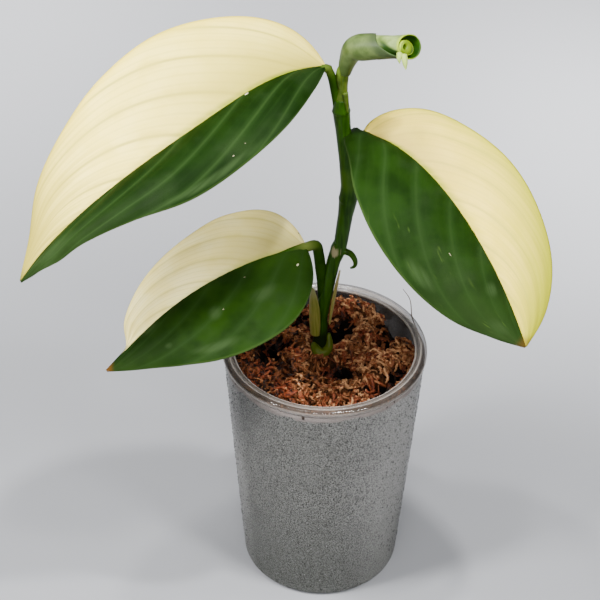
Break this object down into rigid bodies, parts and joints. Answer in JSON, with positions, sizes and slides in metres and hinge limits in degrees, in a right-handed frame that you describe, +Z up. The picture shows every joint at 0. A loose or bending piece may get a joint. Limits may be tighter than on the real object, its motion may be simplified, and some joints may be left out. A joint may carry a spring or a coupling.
{
  "type": "potted scindapsus longistipitatus",
  "caption": "Climbing aroid houseplant with half-cream, half-green leaves and a furled new leaf, rooted in damp moss in a clear plastic tumbler that stands on a flat surface.",
  "frame": {"origin": "middle of the tumbler's flat underside", "axes": "+Z up the tumbler's axis, -Y towards the side the picture was taken from, +X to its right"},
  "size_m": [0.1652, 0.0888, 0.2202],
  "materials": {
    "clear_plastic": "gloss",
    "moss": "matte",
    "stem_green": "satin",
    "leaf_variegated": "satin",
    "leaf_young": "satin",
    "sheath_olive": "satin",
    "sheath_dry": "matte"
  },
  "bodies": {
    "root": {"cup": "clear_plastic", "substrate": "moss", "stem": "stem_green", "leaf_large": "leaf_variegated", "leaf_right": "leaf_variegated", "leaf_low": "leaf_variegated", "new_leaf": "leaf_young", "base_sheath": "sheath_olive", "dry_sheath": "sheath_dry"}
  },
  "joints": []
}
